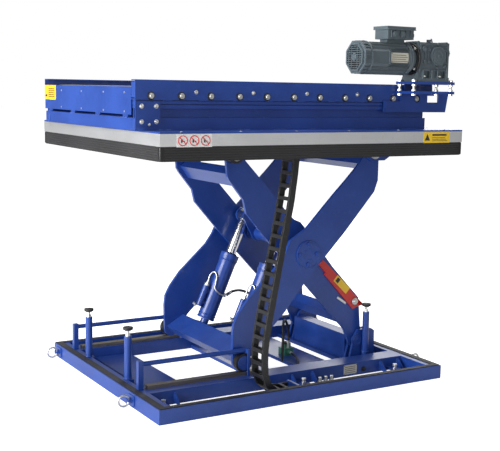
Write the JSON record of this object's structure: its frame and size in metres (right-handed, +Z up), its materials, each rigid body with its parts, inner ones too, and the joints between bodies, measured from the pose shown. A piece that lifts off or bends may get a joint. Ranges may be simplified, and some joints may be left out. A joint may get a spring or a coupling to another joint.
{
  "type": "scissor lift table",
  "caption": "Hydraulic scissor lift table with a powered roller conveyor on its platform, a rubber safety edge and a gearmotor drive.",
  "frame": {"origin": "the middle of the base frame at floor level, on the underside of the centre tie plate", "axes": "+X runs along the long side towards the gearmotor end, +Y away from the gearmotor side, +Z up"},
  "size_m": [1.9295, 1.592, 1.9516],
  "materials": {
    "blue_paint": "satin strong blue paint",
    "black_rubber": "matt black rubber",
    "bare_steel": "bare rolled steel with a worn running face",
    "zinc_steel": "bright zinc plated steel",
    "roller_steel": "dark machined steel",
    "chrome_rod": "hard chrome",
    "grey_paint": "blue grey gearmotor paint",
    "green_paint": "dark green enamel",
    "red_paint": "red paint",
    "chain_plastic": "black nylon",
    "aluminium_strip": "brushed aluminium",
    "roller_tube": "zinc plated steel tube"
  },
  "bodies": {
    "base": {"base_rim": "blue_paint", "track_beams": "blue_paint", "cross_members": "blue_paint", "rim_seal": "black_rubber", "track_bars": "bare_steel", "guard_rails": "blue_paint", "stop_posts": "blue_paint", "stop_studs": "zinc_steel", "stop_buffers": "black_rubber", "levelling_bolts": "zinc_steel", "valve_block": "green_paint", "lifting_lugs": "blue_paint", "base_pivot_pins": "zinc_steel", "energy_chain": "chain_plastic"},
    "inner_arms": {"inner_arms": "blue_paint", "inner_crossmembers": "blue_paint", "upper_roller_axles": "zinc_steel"},
    "maintenance_strut": {"maintenance_strut": "red_paint"},
    "outer_arms": {"outer_arms": "blue_paint", "outer_crossbeams": "blue_paint", "centre_pins": "blue_paint", "lower_roller_axles": "zinc_steel"},
    "platform": {"platform_plate": "blue_paint", "platform_frame": "blue_paint", "top_tracks": "blue_paint", "safety_bumper": "black_rubber", "edge_strip": "aluminium_strip", "top_pivot_pins": "zinc_steel", "conveyor_subframe": "blue_paint", "side_channels": "blue_paint", "roller_shafts": "zinc_steel", "motor_housing": "grey_paint", "terminal_box": "grey_paint", "gearbox": "grey_paint", "drive_mount": "blue_paint", "mount_studs": "zinc_steel"},
    "drive_sprocket": {"drive_sprocket": "zinc_steel"},
    "lifting_ring_1": {"lifting_ring_1": "zinc_steel"},
    "lifting_ring_2": {"lifting_ring_2": "zinc_steel"},
    "lifting_ring_3": {"lifting_ring_3": "zinc_steel"},
    "lifting_ring_4": {"lifting_ring_4": "zinc_steel"},
    "lower_roller_front": {"lower_roller_front": "roller_steel"},
    "lower_roller_rear": {"lower_roller_rear": "roller_steel"},
    "upper_roller_front": {"upper_roller_front": "roller_steel"},
    "upper_roller_rear": {"upper_roller_rear": "roller_steel"},
    "cylinder_barrel_front": {"cylinder_barrel_front": "blue_paint"},
    "cylinder_barrel_rear": {"cylinder_barrel_rear": "blue_paint"},
    "cylinder_rod_front": {"cylinder_rod_front": "chrome_rod"},
    "cylinder_rod_rear": {"cylinder_rod_rear": "chrome_rod"},
    "conveyor_roller_1": {"conveyor_roller_1": "roller_tube"},
    "conveyor_roller_2": {"conveyor_roller_2": "roller_tube"},
    "conveyor_roller_3": {"conveyor_roller_3": "roller_tube"},
    "conveyor_roller_4": {"conveyor_roller_4": "roller_tube"},
    "conveyor_roller_5": {"conveyor_roller_5": "roller_tube"},
    "conveyor_roller_6": {"conveyor_roller_6": "roller_tube"},
    "conveyor_roller_7": {"conveyor_roller_7": "roller_tube"},
    "conveyor_roller_8": {"conveyor_roller_8": "roller_tube"},
    "conveyor_roller_9": {"conveyor_roller_9": "roller_tube"},
    "conveyor_roller_10": {"conveyor_roller_10": "roller_tube"},
    "conveyor_roller_11": {"conveyor_roller_11": "roller_tube"}
  },
  "joints": [
    {"name": "lift", "type": "hinge", "parent": "base", "child": "inner_arms", "pos_m": [0.636, 0.075, 0.144], "axis": [0, -1, 0], "range_deg": [0, 44.1], "deforming": ["energy_chain"]},
    {"name": "arm_cross", "type": "hinge", "parent": "inner_arms", "child": "outer_arms", "pos_m": [0.20839, 0.075, 0.70451], "axis": [0, -1, 0], "range_deg": [-88.2, 0]},
    {"name": "platform_level", "type": "hinge", "parent": "outer_arms", "child": "platform", "pos_m": [0.636, 0.075, 1.26502], "axis": [0, -1, 0], "range_deg": [0, 44.1]},
    {"name": "strut_swing", "type": "hinge", "parent": "inner_arms", "child": "maintenance_strut", "pos_m": [0.61828, -0.247, 0.37826], "axis": [0, -1, 0], "range_deg": [-35, 0]},
    {"name": "ring_1_swing", "type": "hinge", "parent": "base", "child": "lifting_ring_1", "pos_m": [-0.9, -0.41, 0.038], "axis": [0, 0, 1], "range_deg": [-60, 60]},
    {"name": "ring_2_swing", "type": "hinge", "parent": "base", "child": "lifting_ring_2", "pos_m": [-0.9, 0.65, 0.038], "axis": [0, 0, 1], "range_deg": [-60, 60]},
    {"name": "ring_3_swing", "type": "hinge", "parent": "base", "child": "lifting_ring_3", "pos_m": [0.9, -0.45, 0.038], "axis": [0, 0, 1], "range_deg": [-60, 60]},
    {"name": "ring_4_swing", "type": "hinge", "parent": "base", "child": "lifting_ring_4", "pos_m": [0.9, 0.61, 0.038], "axis": [0, 0, 1], "range_deg": [-60, 60]},
    {"name": "lower_roller_front_spin", "type": "hinge", "parent": "outer_arms", "child": "lower_roller_front", "pos_m": [-0.21923, -0.382, 0.144], "axis": [0, 1, 0], "continuous": true},
    {"name": "lower_roller_rear_spin", "type": "hinge", "parent": "outer_arms", "child": "lower_roller_rear", "pos_m": [-0.21923, 0.532, 0.144], "axis": [0, 1, 0], "continuous": true},
    {"name": "upper_roller_front_spin", "type": "hinge", "parent": "inner_arms", "child": "upper_roller_front", "pos_m": [-0.21923, -0.265, 1.26502], "axis": [0, 1, 0], "continuous": true},
    {"name": "upper_roller_rear_spin", "type": "hinge", "parent": "inner_arms", "child": "upper_roller_rear", "pos_m": [-0.21923, 0.415, 1.26502], "axis": [0, 1, 0], "continuous": true},
    {"name": "cylinder_front_tilt", "type": "hinge", "parent": "outer_arms", "child": "cylinder_barrel_front", "pos_m": [-0.10997, -0.15, 0.17511], "axis": [0, -1, 0], "range_deg": [0, 7.6]},
    {"name": "cylinder_front_stroke", "type": "slide", "parent": "cylinder_barrel_front", "child": "cylinder_rod_front", "axis": [0.4005, 0, 0.9163], "range_m": [-0.195, 0]},
    {"name": "cylinder_rear_tilt", "type": "hinge", "parent": "outer_arms", "child": "cylinder_barrel_rear", "pos_m": [-0.10997, 0.3, 0.17511], "axis": [0, -1, 0], "range_deg": [0, 7.6]},
    {"name": "cylinder_rear_stroke", "type": "slide", "parent": "cylinder_barrel_rear", "child": "cylinder_rod_rear", "axis": [0.4005, 0, 0.9163], "range_m": [-0.195, 0]},
    {"name": "sprocket_spin", "type": "hinge", "parent": "platform", "child": "drive_sprocket", "pos_m": [0.725, -0.6, 1.80602], "axis": [0, 1, 0], "continuous": true},
    {"name": "roller_1_spin", "type": "hinge", "parent": "platform", "child": "conveyor_roller_1", "pos_m": [-0.886, 0, 1.57702], "axis": [0, 1, 0], "continuous": true},
    {"name": "roller_2_spin", "type": "hinge", "parent": "platform", "child": "conveyor_roller_2", "pos_m": [-0.726, 0, 1.57702], "axis": [0, 1, 0], "continuous": true},
    {"name": "roller_3_spin", "type": "hinge", "parent": "platform", "child": "conveyor_roller_3", "pos_m": [-0.566, 0, 1.57702], "axis": [0, 1, 0], "continuous": true},
    {"name": "roller_4_spin", "type": "hinge", "parent": "platform", "child": "conveyor_roller_4", "pos_m": [-0.406, 0, 1.57702], "axis": [0, 1, 0], "continuous": true},
    {"name": "roller_5_spin", "type": "hinge", "parent": "platform", "child": "conveyor_roller_5", "pos_m": [-0.246, 0, 1.57702], "axis": [0, 1, 0], "continuous": true},
    {"name": "roller_6_spin", "type": "hinge", "parent": "platform", "child": "conveyor_roller_6", "pos_m": [-0.086, 0, 1.57702], "axis": [0, 1, 0], "continuous": true},
    {"name": "roller_7_spin", "type": "hinge", "parent": "platform", "child": "conveyor_roller_7", "pos_m": [0.074, 0, 1.57702], "axis": [0, 1, 0], "continuous": true},
    {"name": "roller_8_spin", "type": "hinge", "parent": "platform", "child": "conveyor_roller_8", "pos_m": [0.234, 0, 1.57702], "axis": [0, 1, 0], "continuous": true},
    {"name": "roller_9_spin", "type": "hinge", "parent": "platform", "child": "conveyor_roller_9", "pos_m": [0.394, 0, 1.57702], "axis": [0, 1, 0], "continuous": true},
    {"name": "roller_10_spin", "type": "hinge", "parent": "platform", "child": "conveyor_roller_10", "pos_m": [0.554, 0, 1.57702], "axis": [0, 1, 0], "continuous": true},
    {"name": "roller_11_spin", "type": "hinge", "parent": "platform", "child": "conveyor_roller_11", "pos_m": [0.714, 0, 1.57702], "axis": [0, 1, 0], "continuous": true}
  ],
  "couplings": [
    {"joint": "arm_cross", "follows": "lift", "ratio": -2},
    {"joint": "platform_level", "follows": "lift", "ratio": 1},
    {"joint": "cylinder_front_tilt", "follows": "lift", "ratio": 0.1679},
    {"joint": "cylinder_front_stroke", "follows": "lift", "m_per_rad": -0.2473},
    {"joint": "cylinder_rear_tilt", "follows": "lift", "ratio": 0.1679},
    {"joint": "cylinder_rear_stroke", "follows": "lift", "m_per_rad": -0.2473},
    {"joint": "sprocket_spin", "follows": "roller_1_spin", "ratio": 1},
    {"joint": "roller_2_spin", "follows": "roller_1_spin", "ratio": 1},
    {"joint": "roller_3_spin", "follows": "roller_1_spin", "ratio": 1},
    {"joint": "roller_4_spin", "follows": "roller_1_spin", "ratio": 1},
    {"joint": "roller_5_spin", "follows": "roller_1_spin", "ratio": 1},
    {"joint": "roller_6_spin", "follows": "roller_1_spin", "ratio": 1},
    {"joint": "roller_7_spin", "follows": "roller_1_spin", "ratio": 1},
    {"joint": "roller_8_spin", "follows": "roller_1_spin", "ratio": 1},
    {"joint": "roller_9_spin", "follows": "roller_1_spin", "ratio": 1},
    {"joint": "roller_10_spin", "follows": "roller_1_spin", "ratio": 1},
    {"joint": "roller_11_spin", "follows": "roller_1_spin", "ratio": 1}
  ]
}
